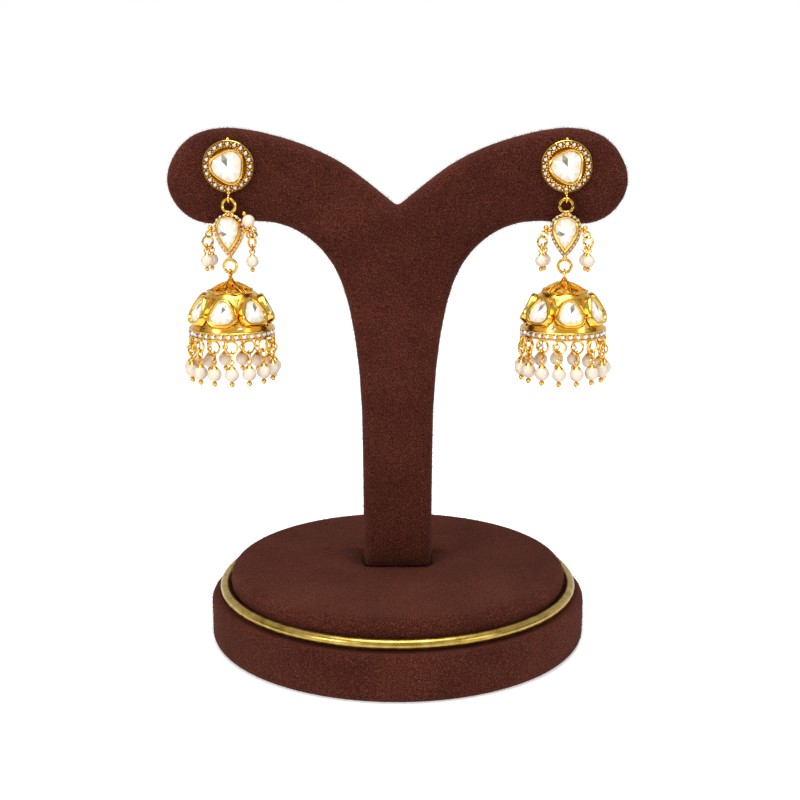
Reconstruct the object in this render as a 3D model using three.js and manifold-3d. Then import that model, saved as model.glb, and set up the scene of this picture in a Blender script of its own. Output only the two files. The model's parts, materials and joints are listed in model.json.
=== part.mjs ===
// A pair of jhumka earrings on a velvet display stand. Millimetres, +Z up, the front is -Y, and the
// origin is the middle of the stand's underside. Each earring is a stud, a pear link and a bell.
import * as THREE from 'three';
import { ConvexGeometry } from 'three/addons/geometries/ConvexGeometry.js';
import { mergeVertices } from 'three/addons/utils/BufferGeometryUtils.js';
import Module from 'manifold-3d';

const wasm = await Module();
wasm.setup();

// ---------- driving dimensions ----------

const LOWER_DISC = { radius: 47.4, bottom: 0, top: 11.5, edge: 1.8 };
const UPPER_DISC = { radius: 42.5, bottom: 12.0, top: 18.3, edge: 3.0 };
const BASE_RING = { radius: 43.8, wire: 1.45, height: 13.2 };
const FOOT = { pocketDepth: 1.2, clearance: 0.35 };
const ARMS = { depth: 11, edge: 2.6, outlineSteps: 34 };
// The right half of the stem and arm, from the notch round the arm's end and down to the foot.
const ARM_OUTLINE = [
  { x: 0, z: 108.5 },
  { x: 5.8, z: 113.3 },
  { x: 14.6, z: 119.7 },
  { x: 26.5, z: 124.7 },
  { x: 40.7, z: 127.5 },
  { x: 50.6, z: 124.8 },
  { x: 55.7, z: 116.0 },
  { x: 52.9, z: 108.2 },
  { x: 45.7, z: 104.4 },
  { x: 32.6, z: 105.3 },
  { x: 23.3, z: 102.4 },
  { x: 15.9, z: 95.0 },
  { x: 11.7, z: 83.2 },
  { x: 9.2, z: 64.0 },
  { x: 8.7, z: 40.0 },
  { x: 8.6, z: 18.3 },
];

const STUD = { x: 40.1, z: 118.63, back: 5.9, radius: 6.15, thickness: 1.3 };
const STUD_SETTING = { width: 8.3, wall: 0.7, height: 1.7, lean: 55 };
const POST = { radius: 0.45, length: 8.7, holeRadius: 0.65, holeDepth: 9.2 };

const DROP_Y = -7.6; // everything below the stud hangs in this plane
const EYE = { radius: 0.92, wire: 0.27, z: 111.2 };
const LINK_RING = { radius: 1.58, wire: 0.36 };
const HANGING_GAP = 0.12; // between two wires that hang on each other
const LINK_PLATE = { width: 7.6, top: 107.5, bottom: 96.85, thickness: 1.2 };
const LINK_SETTING = { width: 6.2, top: 107.2, bottom: 98.3, height: 1.3, wall: 0.65 };

const BELL = { apothem: 8.95, faceZ: 84.8, lean: 26, sides: 7, bandRadius: 10.35, mouth: 78.5 };
const BELL_SETTING = { width: 7.1, height: 7.4, depth: 1.5, wall: 0.75 };
const BELL_LOOP = { count: 15, ring: 10.1, radius: 1.5, wire: 0.25, z: 76.95 };
const PEARL_DROP = { linkZ: 74.7, linkRadius: 0.78, linkStretch: 1.67, wire: 0.2, pearlZ: 70.44, pearl: 1.7 };

const STONE_GAP = 0.15; // between a stone and its setting

// How the two earrings hang: turns about the vertical, from the front towards +X, in degrees.
const EARRINGS = [
  { side: 'left', x: -STUD.x, linkTurn: -8.5, stoneTurn: -8, pearlTurn: 5, flippedPearl: true },
  { side: 'right', x: STUD.x, linkTurn: -6.5, stoneTurn: 4.3, pearlTurn: -10.5, flippedPearl: false },
];

const metal = (color, roughness) => new THREE.MeshStandardMaterial({ color, roughness, metalness: 1 });
const plain = (color, roughness) => new THREE.MeshStandardMaterial({ color, roughness, metalness: 0 });
const VELVET = plain(0x4a261e, 0.95);
const BRASS = metal(0xc2a45c, 0.35);
const GOLD = metal(0xe0a836, 0.2);
const STONE = plain(0xf4ecd6, 0.05);
const PEARL = plain(0xf3e8d6, 0.25);

const rad = THREE.MathUtils.degToRad;

// ---------- solids ----------

// Merges shared vertices, drops the flat triangles at a pole, and turns the faces outwards.
function closed(geometry) {
  const bare = geometry.clone();
  bare.deleteAttribute('normal');
  bare.deleteAttribute('uv');
  const merged = mergeVertices(bare, 1e-4);
  const from = merged.index.array;
  const kept = [];
  for (let i = 0; i < from.length; i += 3) {
    const [a, b, c] = [from[i], from[i + 1], from[i + 2]];
    if (a !== b && b !== c && c !== a) kept.push(a, b, c);
  }
  const at = (i) => new THREE.Vector3().fromBufferAttribute(merged.getAttribute('position'), i);
  let volume = 0;
  for (let i = 0; i < kept.length; i += 3) {
    volume += at(kept[i]).dot(at(kept[i + 1]).cross(at(kept[i + 2])));
  }
  merged.setIndex(volume < 0 ? kept.reverse() : kept);
  return merged;
}

function solidOf(geometry) {
  const mesh = closed(geometry);
  return new wasm.Manifold(new wasm.Mesh({
    numProp: 3,
    vertProperties: new Float32Array(mesh.getAttribute('position').array),
    triVerts: new Uint32Array(mesh.index.array),
  }));
}

function geometryOf(solid) {
  const mesh = solid.getMesh();
  const geometry = new THREE.BufferGeometry();
  geometry.setAttribute('position', new THREE.BufferAttribute(new Float32Array(mesh.vertProperties), 3));
  geometry.setIndex(new THREE.BufferAttribute(new Uint32Array(mesh.triVerts), 1));
  return geometry;
}

const join = (...parts) => geometryOf(parts.map(solidOf).reduce((all, next) => all.add(next)));
const cut = (body, ...tools) =>
  geometryOf(tools.map(solidOf).reduce((left, tool) => left.subtract(tool), solidOf(body)));

// ---------- shapes ----------

// Turns an upright (radius, height) profile about Z.
function lathe(profile, segments) {
  const points = profile.map(([radius, height]) => new THREE.Vector2(radius, height));
  return closed(new THREE.LatheGeometry(points, segments)).rotateX(Math.PI / 2);
}

// Lays a drawing made in XY, with its thickness along +Z, upright so that it faces the front.
const facingFront = (geometry) => geometry.rotateX(Math.PI / 2);

const ringFacingFront = (radius, wire, steps = 10, sides = 5) =>
  facingFront(closed(new THREE.TorusGeometry(radius, wire, sides, steps)));

// A round rod along Y.
const rod = (radius, length) => closed(new THREE.CylinderGeometry(radius, radius, length, 8));

const ringEdgeOn = (radius, wire, steps = 10, sides = 5) =>
  ringFacingFront(radius, wire, steps, sides).rotateZ(Math.PI / 2);

const granule = (radius, x, y, z) => closed(new THREE.SphereGeometry(radius, 6, 4)).translate(x, y, z);

function slab(outline, back, front) {
  const settings = { depth: front - back, bevelEnabled: false };
  return closed(new THREE.ExtrudeGeometry(new THREE.Shape(outline), settings)).translate(0, 0, back);
}

// A raised setting: an outline with its walls left standing round a hole.
const collar = (outer, inner, back, front) => cut(slab(outer, back, front), slab(inner, back - 1, front + 1));

// A triangle with bowed sides and soft corners; one corner points along pointAt, in degrees.
function softTriangle(width, height, pointAt, steps) {
  const bow = 0.095;
  return Array.from({ length: steps }, (_, i) => {
    const angle = (i / steps) * 2 * Math.PI;
    const reach = 1 + bow * Math.cos(3 * (angle - rad(pointAt)));
    return new THREE.Vector2((width / 2) * reach * Math.cos(angle), (height / 2) * reach * Math.sin(angle));
  });
}

// A pear outline between two heights, its point down.
function pear(width, top, bottom, steps) {
  const middle = (top + bottom) / 2;
  const widest = 0.77; // the largest value of sin(t) sin(t / 2)
  return Array.from({ length: steps }, (_, i) => {
    const t = (i / steps) * 2 * Math.PI;
    const x = ((width / 2) * Math.sin(t) * Math.abs(Math.sin(t / 2))) / widest;
    return new THREE.Vector2(-x, middle - ((top - bottom) / 2) * Math.cos(t));
  });
}

// A rose-cut stone: straight girdle, a ring of crown facets and a low point.
function cutStone(outline, back, girdle, crown) {
  const centre = outline.reduce((sum, p) => sum.add(p), new THREE.Vector2()).divideScalar(outline.length);
  const layer = (scale, height) => outline.map((p) => {
    const q = centre.clone().lerp(p, scale);
    return new THREE.Vector3(q.x, q.y, height);
  });
  const point = new THREE.Vector3(centre.x, centre.y, crown);
  const shoulder = girdle + (crown - girdle) * 0.65;
  const everyOther = layer(0.62, shoulder).filter((_, i) => i % 2 === 0);
  return closed(new ConvexGeometry([...layer(1, back), ...layer(1, girdle), ...everyOther, point]));
}

// A pearl with its end ball below and its wrapped head above, hanging from topZ.
function pearlOnPin(radius, pearlZ, topZ) {
  const ball = radius * 0.38;
  const ballZ = pearlZ - radius - ball * 0.85;
  return lathe([
    [0, ballZ - ball],
    [ball, ballZ],
    [ball * 0.5, pearlZ - radius * 0.98],
    [radius * 0.8, pearlZ - radius * 0.6],
    [radius, pearlZ],
    [radius * 0.8, pearlZ + radius * 0.6],
    [radius * 0.45, pearlZ + radius],
    [radius * 0.22, topZ],
    [0, topZ],
  ], 6);
}

// ---------- stand ----------

function disc({ radius, bottom, top, edge }) {
  const corner = (z, from) => [0, 0.5, 1].map((share) => {
    const angle = rad(from + 90 * share);
    return [radius - edge + edge * Math.cos(angle), z + edge * Math.sin(angle)];
  });
  return lathe([[0, bottom], ...corner(bottom + edge, -90), ...corner(top - edge, 0), [0, top]], 36);
}

function armShape() {
  const half = new THREE.SplineCurve(ARM_OUTLINE.map(({ x, z }) => new THREE.Vector2(x, z)));
  const right = half.getPoints(ARMS.outlineSteps);
  right[right.length - 1].y -= FOOT.pocketDepth - FOOT.clearance;
  const left = right.slice(1).map((p) => new THREE.Vector2(-p.x, p.y)).reverse();
  return new THREE.Shape([...right, ...left]);
}

function standArms() {
  const body = closed(new THREE.ExtrudeGeometry(armShape(), {
    depth: ARMS.depth - 2 * ARMS.edge,
    bevelThickness: ARMS.edge,
    bevelSize: ARMS.edge,
    bevelOffset: -ARMS.edge,
    bevelSegments: 2,
  })).translate(0, 0, -ARMS.depth / 2 + ARMS.edge);
  const holes = EARRINGS.map(({ x }) =>
    rod(POST.holeRadius, 2 * POST.holeDepth).translate(x, -ARMS.depth / 2, STUD.z));
  return cut(facingFront(body), ...holes);
}

function upperDisc() {
  const foot = ARM_OUTLINE.at(-1).x + FOOT.clearance;
  const depth = ARMS.depth + 2 * FOOT.clearance;
  const pocket = closed(new THREE.BoxGeometry(2 * foot, depth, 2 * FOOT.pocketDepth)).translate(0, 0, UPPER_DISC.top);
  return cut(disc(UPPER_DISC), pocket);
}

// ---------- stud ----------

const atStud = (geometry) => facingFront(geometry).translate(0, -STUD.back, STUD.z);

function studFrame() {
  const { radius, thickness } = STUD;
  const halo = lathe([[0, 0], [radius, 0], [radius, 1], [5.9, thickness], [4.75, thickness], [4.6, 0.9], [0, 0.9]], 24);
  const { width, wall, height, lean } = STUD_SETTING;
  const outer = softTriangle(width, width, lean, 15);
  const inner = softTriangle(width - 2 * wall, width - 2 * wall, lean, 15);
  const setting = collar(outer, inner, 0.5, 0.9 + height);
  return join(
    atStud(halo),
    atStud(setting),
    granule(0.45, 0, -STUD.back - 0.6, STUD.z + radius + 0.15),
    granule(0.55, 0, -STUD.back - 1.1, STUD.z - radius + 0.05),
    ringEdgeOn(EYE.radius, EYE.wire).translate(0, DROP_Y, EYE.z),
  );
}

function studStone() {
  const { width, wall, lean, height } = STUD_SETTING;
  const across = width - 2 * (wall + STONE_GAP);
  return atStud(cutStone(softTriangle(across, across, lean, 15), 0.9 + STONE_GAP, 0.7 + height, 1.2 + height));
}

const earPost = () => rod(POST.radius, POST.length)
  .translate(0, POST.length / 2 - STUD.back + STONE_GAP, STUD.z);

// ---------- pear link ----------

const topRingZ = EYE.z - EYE.radius + EYE.wire + HANGING_GAP + LINK_RING.wire - LINK_RING.radius;
const lowerRingZ = LINK_PLATE.bottom - LINK_RING.radius - LINK_RING.wire + 0.11;

// Granules, a small loop and a jump ring on one side of the link, with two tiny pearls.
function sideDrops(side, flippedPearl) {
  const pearlRadius = 1.5;
  const hangsAt = 99.6;
  const tiny = (x, y) => pearlOnPin(pearlRadius, 96.3, hangsAt).translate(x, y, 0);
  const front = tiny(side * 5.6, -0.3);
  const behind = [tiny(side * 4.9, 1.4)];
  const thrownUp = [
    pearlOnPin(pearlRadius, 0, 3.4).rotateY(rad(150)).translate(4.85, -0.7, 106),
    ringFacingFront(0.85, 0.24, 7, 3).translate(5.9, -0.5, 102.4),
  ];
  return [
    granule(0.6, side * 3.7, -0.2, 103.7),
    granule(0.6, side * 4.5, -0.2, 104.1),
    granule(0.55, side * 4.6, -0.2, 103.3),
    ringFacingFront(0.75, 0.25, 6, 3).translate(side * 4.9, -0.1, 102.5),
    ringEdgeOn(1.35, 0.27, 7, 3).rotateZ(side * rad(35)).translate(side * 5.2, 0.3, 100.8),
    front,
    ...(side > 0 && flippedPearl ? thrownUp : behind),
  ];
}

function linkFrame(earring) {
  const { width, top, bottom, thickness } = LINK_PLATE;
  const plate = facingFront(slab(pear(width, top, bottom, 12), -thickness / 2, thickness / 2));
  const inside = LINK_SETTING.wall;
  const outer = pear(LINK_SETTING.width, LINK_SETTING.top, LINK_SETTING.bottom, 12);
  const inner = pear(
    LINK_SETTING.width - 2 * inside,
    LINK_SETTING.top - inside,
    LINK_SETTING.bottom + 1.6 * inside,
    12,
  );
  const setting = facingFront(collar(outer, inner, 0, thickness / 2 + LINK_SETTING.height));
  return join(
    plate,
    setting,
    ringFacingFront(LINK_RING.radius, LINK_RING.wire).translate(0, 0, topRingZ),
    granule(0.6, 0, 0, top + 0.05),
    granule(0.6, 0, 0, bottom + 0.1),
    ringFacingFront(LINK_RING.radius, LINK_RING.wire).translate(0, 0, lowerRingZ),
    ...sideDrops(-1, earring.flippedPearl),
    ...sideDrops(1, earring.flippedPearl),
  );
}

function linkStone() {
  const inside = LINK_SETTING.wall + STONE_GAP;
  const outline = pear(
    LINK_SETTING.width - 2 * inside,
    LINK_SETTING.top - inside,
    LINK_SETTING.bottom + 1.6 * inside,
    12,
  );
  const floor = LINK_PLATE.thickness / 2;
  const rim = floor + LINK_SETTING.height;
  return facingFront(cutStone(outline, floor + STONE_GAP, rim - 0.2, rim + 0.3));
}

// ---------- bell ----------

const side = 360 / BELL.sides;

// Puts a drawing on one face of the dome, leaning with the wall.
const onDome = (geometry, turn) => facingFront(geometry)
  .rotateX(-rad(BELL.lean))
  .translate(0, -BELL.apothem, BELL.faceZ)
  .rotateZ(rad(turn));

function domeShell() {
  return lathe([
    [0, 92.5], [0.7, 92.0], [1.7, 91.0], [5.0, 89.1], [7.1, 87.0], [8.5, 84.4], [9.7, 80.4],
    [BELL.bandRadius, 80.3], [BELL.bandRadius, BELL.mouth], [9.5, BELL.mouth],
    [9.1, 80.3], [7.9, 84.2], [4.5, 88.2], [0, 90.3],
  ], 21);
}

// Three-cornered openings: under each meeting of two settings, above it, and between the cap's spokes.
function openings(turn) {
  const triangle = (width, height) => [
    new THREE.Vector2(-width / 2, 0),
    new THREE.Vector2(width / 2, 0),
    new THREE.Vector2(0, height),
  ];
  const radial = (outline, z) => facingFront(slab(outline, 4, 12)).translate(0, 0, z).rotateZ(rad(turn));
  const window = [[-1.5, -4.4], [1.5, -4.4], [0, -2.1]].map(([x, y]) => new THREE.Vector2(x, y));
  return [
    radial(triangle(1.9, 1.3), 81.0),
    radial(triangle(1.7, -1.6), 88.0),
    slab(window, 87.5, 92).rotateZ(rad(turn)),
  ];
}

function bellDome({ stoneTurn, pearlTurn, linkTurn }) {
  const { width, height, depth, wall } = BELL_SETTING;
  const turns = Array.from({ length: BELL.sides }, (_, i) => stoneTurn + i * side);
  const outer = softTriangle(width, height, 90, 9);
  const pocket = softTriangle(width - 2 * wall, height - 2 * wall, 90, 9);
  const rim = closed(new THREE.TorusGeometry(4.95, 0.3, 4, BELL.sides))
    .rotateZ(rad(stoneTurn + side / 2 - 90)).translate(0, 0, 89.1);
  const loop = ringEdgeOn(EYE.radius, EYE.wire)
    .rotateZ(rad(linkTurn)).translate(0, 0, loopWireZ - EYE.radius);
  const hanging = Array.from({ length: BELL_LOOP.count }, (_, i) =>
    ringFacingFront(BELL_LOOP.radius, BELL_LOOP.wire, 8, 3)
      .translate(0, -BELL_LOOP.ring, BELL_LOOP.z)
      .rotateZ(rad(pearlTurn + i * dropStep)));
  const open = turns.flatMap((turn) => openings(turn + side / 2));
  const settings = turns.map((turn) => onDome(slab(outer, -depth, 0), turn));
  const seats = turns.map((turn) => onDome(slab(pocket, -depth + 0.5, 1), turn));
  return cut(join(cut(domeShell(), ...open), rim, loop, ...settings, ...hanging), ...seats);
}

function bellStone(turn) {
  const { width, height, depth, wall } = BELL_SETTING;
  const inside = 2 * (wall + STONE_GAP);
  const outline = softTriangle(width - inside, height - inside, 90, 9);
  return onDome(cutStone(outline, -depth + 0.5 + STONE_GAP, -0.1, 0.35), turn);
}

const dropStep = 360 / BELL_LOOP.count;
const loopWireZ = lowerRingZ - LINK_RING.radius + LINK_RING.wire + HANGING_GAP + EYE.wire;

function pearlDrop(turn) {
  const { linkZ, linkRadius, linkStretch, wire, pearlZ, pearl } = PEARL_DROP;
  const link = ringEdgeOn(linkRadius, wire, 8, 3).scale(1, 1, linkStretch).translate(0, 0, linkZ);
  const foot = linkZ - linkRadius * linkStretch;
  return join(link, pearlOnPin(pearl, pearlZ, foot))
    .translate(0, -BELL_LOOP.ring, 0)
    .rotateZ(rad(turn));
}

// ---------- assembly ----------

function piece(name, geometry, material) {
  const mesh = new THREE.Mesh(closed(geometry), material);
  mesh.name = name;
  return mesh;
}

function stand() {
  const group = new THREE.Group();
  const { radius, wire, height } = BASE_RING;
  const ring = closed(new THREE.TorusGeometry(radius, wire, 6, 36)).translate(0, 0, height);
  group.add(
    piece('stand_base_lower', disc(LOWER_DISC), VELVET),
    piece('stand_base_ring', ring, BRASS),
    piece('stand_base_upper', upperDisc(), VELVET),
    piece('stand_arms', standArms(), VELVET),
  );
  return group;
}

function earring(pose) {
  const name = (part) => `${pose.side}_${part}`;
  const stud = new THREE.Group();
  stud.add(
    piece(name('stud_frame'), studFrame(), GOLD),
    piece(name('stud_stone'), studStone(), STONE),
    piece(name('ear_post'), earPost(), GOLD),
  );
  const link = new THREE.Group();
  link.position.y = DROP_Y;
  link.rotation.z = rad(pose.linkTurn);
  link.add(
    piece(name('link_frame'), linkFrame(pose), GOLD),
    piece(name('link_stone'), linkStone(), STONE),
  );
  const bell = new THREE.Group();
  bell.position.y = DROP_Y;
  bell.add(piece(name('bell_dome'), bellDome(pose), GOLD));
  for (let i = 0; i < BELL.sides; i += 1) {
    bell.add(piece(name(`bell_stone_${i + 1}`), bellStone(pose.stoneTurn + i * side), STONE));
  }
  for (let i = 0; i < BELL_LOOP.count; i += 1) {
    bell.add(piece(name(`pearl_drop_${i + 1}`), pearlDrop(pose.pearlTurn + i * dropStep), PEARL));
  }
  const group = new THREE.Group();
  group.position.x = pose.x;
  group.add(stud, link, bell);
  return group;
}

const jhumkas = new THREE.Group();
jhumkas.add(stand(), ...EARRINGS.map(earring));
export default jhumkas;
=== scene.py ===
"""A pair of jhumka earrings on a velvet covered stand: gold, kundan stones, zircons and pearls."""
import json
import math
import random

import bmesh
import bpy
import numpy as np
from mathutils import Matrix, Vector


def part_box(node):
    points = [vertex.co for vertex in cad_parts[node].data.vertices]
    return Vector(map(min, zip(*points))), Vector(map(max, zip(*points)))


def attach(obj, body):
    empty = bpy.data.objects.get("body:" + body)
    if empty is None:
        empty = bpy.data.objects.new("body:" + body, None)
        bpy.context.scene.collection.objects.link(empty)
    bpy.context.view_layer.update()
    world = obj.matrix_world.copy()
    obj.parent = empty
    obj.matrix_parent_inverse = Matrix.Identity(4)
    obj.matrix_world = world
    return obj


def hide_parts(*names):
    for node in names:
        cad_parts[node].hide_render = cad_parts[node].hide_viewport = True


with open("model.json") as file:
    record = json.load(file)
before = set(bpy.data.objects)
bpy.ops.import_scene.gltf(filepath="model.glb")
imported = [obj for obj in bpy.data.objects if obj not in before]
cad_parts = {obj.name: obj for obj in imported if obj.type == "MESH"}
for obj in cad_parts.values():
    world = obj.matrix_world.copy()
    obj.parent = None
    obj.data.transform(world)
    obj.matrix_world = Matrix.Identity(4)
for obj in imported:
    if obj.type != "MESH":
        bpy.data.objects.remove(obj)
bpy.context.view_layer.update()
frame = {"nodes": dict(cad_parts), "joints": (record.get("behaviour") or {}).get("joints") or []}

MM = 0.001
SIDES = ("left", "right")

# Sizes in millimetres and turns in degrees. Heights are above the surface that the stand rests on.
STUD = {"z": 118.63, "back": 5.9}
HALO = {"radius": 6.15, "front": 1.3, "stones": 20, "stone_ring": 5.25, "stone": 0.52}
STUD_SETTING = {"across": 8.3, "wall": 0.62, "front": 2.7, "point_at": 55}
EYE = {"radius": 0.92, "wire": 0.27, "z": 111.2}
LINK_RING = {"radius": 1.58, "wire": 0.36, "top_z": 109.45, "low_z": 95.02}
LINK_PLATE = {"width": 7.6, "top": 107.5, "bottom": 96.85, "half_depth": 0.6}
LINK_SETTING = {"width": 6.2, "top": 107.2, "bottom": 98.3, "front": 2.0, "wall": 0.6}
BELL = {"sides": 7, "apothem": 8.95, "face_z": 84.8, "lean": 26, "band": 10.35, "top": 80.4, "mouth": 78.5}
BELL_SETTING = {"width": 7.2, "height": 7.5, "depth": 1.5, "wall": 1.0, "front": 0.35}
BELL_WALL = [(1.7, 91.0), (3.4, 90.15), (5.0, 89.1), (6.1, 88.15), (7.0, 87.0), (7.8, 85.8), (8.4, 84.4),
             (9.1, 82.4), (9.7, 80.4)]
BELL_WALL_DEPTH = {"in": 0.55, "down": 0.35}
DROPS = {"count": 15, "ring": 10.1, "loop": 1.5, "loop_wire": 0.26, "loop_z": 76.95, "pearl": 1.7,
         "pearl_z": 70.44}
BAND_STONES = {"count": 34, "radius": 10.08, "size": 0.66}
TINY_PEARL = {"radius": 1.5, "z": 96.3}
LOWER_DISC = {"radius": 47.4, "bottom": 0.0, "top": 11.5, "edge": 1.8}
UPPER_DISC = {"radius": 42.5, "bottom": 12.0, "top": 18.3, "edge": 3.0}
LINK_STONES = {"count": 24, "size": 0.36, "width": 6.98, "top": 107.35, "bottom": 97.62}
HANGING_GAP = 0.12  # between a ring and the ring that hangs in it
FOOT = {"half_width": 8.95, "gap": 0.35, "height": 2.4, "corner": 2.4}
ARM_SKIN = {"cell": 0.9, "softness": 0.5, "passes": 14}
FIBRES_PER_SQUARE_METRE = 2.2e6
PAINTED_DARK_FACET = {"stud": 2, "link": 7, "bell": 1}  # which facet of the crown is painted dark, as a dark reflection
CAMERA = {"place": (0.0006, -0.350, 0.140), "dip": 12.82, "lens": 64.5, "sensor": 36}


# ---------- small tools ----------

def linear(hex_colour):
    """An sRGB hex colour as linear red, green, blue and alpha."""
    parts = [int(hex_colour[i:i + 2], 16) / 255 for i in (1, 3, 5)]
    return [c / 12.92 if c <= 0.04045 else ((c + 0.055) / 1.055) ** 2.4 for c in parts] + [1.0]


def add(tree, kind, inputs=None, **settings):
    """A node with its settings; each input is a value or the socket that feeds it."""
    made = tree.nodes.new(kind)
    for key, value in settings.items():
        setattr(made, key, value)
    for key, value in (inputs or {}).items():
        if isinstance(value, bpy.types.NodeSocket):
            tree.links.new(value, made.inputs[key])
        else:
            made.inputs[key].default_value = value
    return made


def ramp(made, stops):
    """Sets a colour ramp's stops, given as (place, colour)."""
    elements = made.color_ramp.elements
    while len(elements) < len(stops):
        elements.new(0.5)
    for element, (place, colour) in zip(elements, stops):
        element.position = place
        element.color = linear(colour)
    return made.outputs["Color"]


def per_mm(size):
    """A texture scale, in cells for each metre, whose cells are that many millimetres."""
    return 1 / (size * MM)


# ---------- materials ----------

def material(name):
    made = bpy.data.materials.new(name)
    made.use_nodes = True
    tree = made.node_tree
    tree.nodes.clear()
    shader = add(tree, "ShaderNodeBsdfPrincipled")
    add(tree, "ShaderNodeOutputMaterial", {"Surface": shader.outputs[0]})
    place = add(tree, "ShaderNodeTexCoord").outputs["Object"]
    return made, tree, shader, place


def gold_plate():
    """Polished gold plate on brass: bright and yellow, with painted shade deeper orange in its crevices."""
    made, tree, shader, place = material("polished_gold_plate")
    # Painted shade: ambient occlusion turns the colour a deeper, darker orange in crevices and hollows.
    painted_crevice_shade = add(tree, "ShaderNodeAmbientOcclusion", {"Distance": 0.9 * MM}, samples=4)
    tone = ramp(add(tree, "ShaderNodeValToRGB", {"Fac": painted_crevice_shade.outputs["AO"]}),
                [(0.15, "#B4600A"), (0.55, "#F4AC28"), (0.95, "#FFD262")])
    wear = add(tree, "ShaderNodeTexNoise", {"Vector": place, "Scale": per_mm(0.9), "Detail": 3.0})
    rough = add(tree, "ShaderNodeMapRange", {"Value": wear.outputs[0], "To Min": 0.1, "To Max": 0.26})
    dents = add(tree, "ShaderNodeBump", {
        "Height": wear.outputs[0], "Strength": 0.25, "Distance": 0.05 * MM})
    tree.links.new(tone, shader.inputs["Base Color"])
    tree.links.new(rough.outputs[0], shader.inputs["Roughness"])
    tree.links.new(dents.outputs[0], shader.inputs["Normal"])
    shader.inputs["Metallic"].default_value = 1.0
    return made


def satin_brass():
    """Drawn brass wire, satin: paler and greener than the plate, with fine marks along the wire."""
    made, tree, shader, place = material("satin_brass_wire")
    marks = add(tree, "ShaderNodeTexNoise", {"Vector": place, "Scale": per_mm(2.5), "Detail": 4.0})
    tone = ramp(add(tree, "ShaderNodeValToRGB", {"Fac": marks.outputs[0]}),
                [(0.3, "#B08F3C"), (0.7, "#D6BA68")])
    rough = add(tree, "ShaderNodeMapRange", {"Value": marks.outputs[0], "To Min": 0.22, "To Max": 0.36})
    tree.links.new(tone, shader.inputs["Base Color"])
    tree.links.new(rough.outputs[0], shader.inputs["Roughness"])
    shader.inputs["Metallic"].default_value = 1.0
    return made


def kundan_stone():
    """Rose-cut glass over foil: painted reflections colour each facet white, champagne or, on one, grey."""
    made, tree, shader, _ = material("foiled_rose_cut_stone")
    # Painted reflections: the facet attribute picks a light or dark tone for each facet, standing in for
    # what it reflects.
    facet = add(tree, "ShaderNodeAttribute", attribute_name="facet")
    tone = ramp(add(tree, "ShaderNodeValToRGB", {"Fac": facet.outputs["Fac"]}),
                [(0.0, "#7E7C74"), (0.25, "#DDCFA8"), (0.6, "#F3EBD8"), (1.0, "#FFFEFA")])
    tree.links.new(tone, shader.inputs["Base Color"])
    shader.inputs["Roughness"].default_value = 0.04
    shader.inputs["IOR"].default_value = 1.62
    shader.inputs["Coat Weight"].default_value = 0.6
    shader.inputs["Coat Roughness"].default_value = 0.02
    return made


def zircon():
    """Small brilliant-cut zircons: hard sparkle, with painted reflections colouring the facets white to dark
    grey.
    """
    made, tree, shader, _ = material("brilliant_cut_zircon")
    # Painted reflections: each facet is coloured from dark grey to white, standing in for its sparkle.
    facet = add(tree, "ShaderNodeAttribute", attribute_name="facet")
    tone = ramp(add(tree, "ShaderNodeValToRGB", {"Fac": facet.outputs["Fac"]}),
                [(0.0, "#4E4843"), (0.35, "#A79E97"), (1.0, "#F4F1EE")])
    tree.links.new(tone, shader.inputs["Base Color"])
    shader.inputs["Roughness"].default_value = 0.05
    shader.inputs["IOR"].default_value = 1.95
    return made


def pearl_lustre():
    """Cream seed pearl: soft body, a clear coat for the lustre, painted shade darker and warmer round the
    edge.
    """
    made, tree, shader, place = material("cream_seed_pearl")
    # Painted shade: the colour darkens and warms towards the outline, where the surface turns from view.
    rim = add(tree, "ShaderNodeLayerWeight", {"Blend": 0.35})
    tone = ramp(add(tree, "ShaderNodeValToRGB", {"Fac": rim.outputs["Facing"]}),
                [(0.0, "#F8EAD6"), (0.55, "#EBD6BA"), (1.0, "#C49C72")])
    cloud = add(tree, "ShaderNodeTexNoise", {"Vector": place, "Scale": per_mm(1.2), "Detail": 2.0})
    rough = add(tree, "ShaderNodeMapRange", {"Value": cloud.outputs[0], "To Min": 0.12, "To Max": 0.22})
    tree.links.new(tone, shader.inputs["Base Color"])
    tree.links.new(rough.outputs[0], shader.inputs["Roughness"])
    shader.inputs["Coat Weight"].default_value = 0.5
    shader.inputs["Coat Roughness"].default_value = 0.08
    return made


def velvet():
    """Short brown nap: matt, with sheen, fine fibre tips catching light and soft brushed patches."""
    made, tree, shader, place = material("brown_velvet_nap")
    fibre = add(tree, "ShaderNodeTexNoise", {
        "Vector": place, "Scale": per_mm(0.32), "Detail": 4.0, "Roughness": 0.7})
    brushed = add(tree, "ShaderNodeTexNoise", {"Vector": place, "Scale": per_mm(14.0), "Detail": 1.0})
    both = add(tree, "ShaderNodeMath", {0: brushed.outputs[0], 1: 0.12, 2: fibre.outputs[0]},
               operation="MULTIPLY_ADD")
    tone = ramp(add(tree, "ShaderNodeValToRGB", {"Fac": both.outputs[0]}),
                [(0.36, "#1D0A06"), (0.56, "#451E15"), (0.77, "#834636")])
    tips = add(tree, "ShaderNodeBump", {"Height": fibre.outputs[0], "Strength": 0.9, "Distance": 0.35 * MM})
    tree.links.new(tone, shader.inputs["Base Color"])
    tree.links.new(tips.outputs[0], shader.inputs["Normal"])
    shader.inputs["Roughness"].default_value = 1.0
    shader.inputs["Specular IOR Level"].default_value = 0.1
    shader.inputs["Sheen Weight"].default_value = 0.35
    shader.inputs["Sheen Roughness"].default_value = 0.45
    shader.inputs["Sheen Tint"].default_value = linear("#A0604C")
    return made


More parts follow.
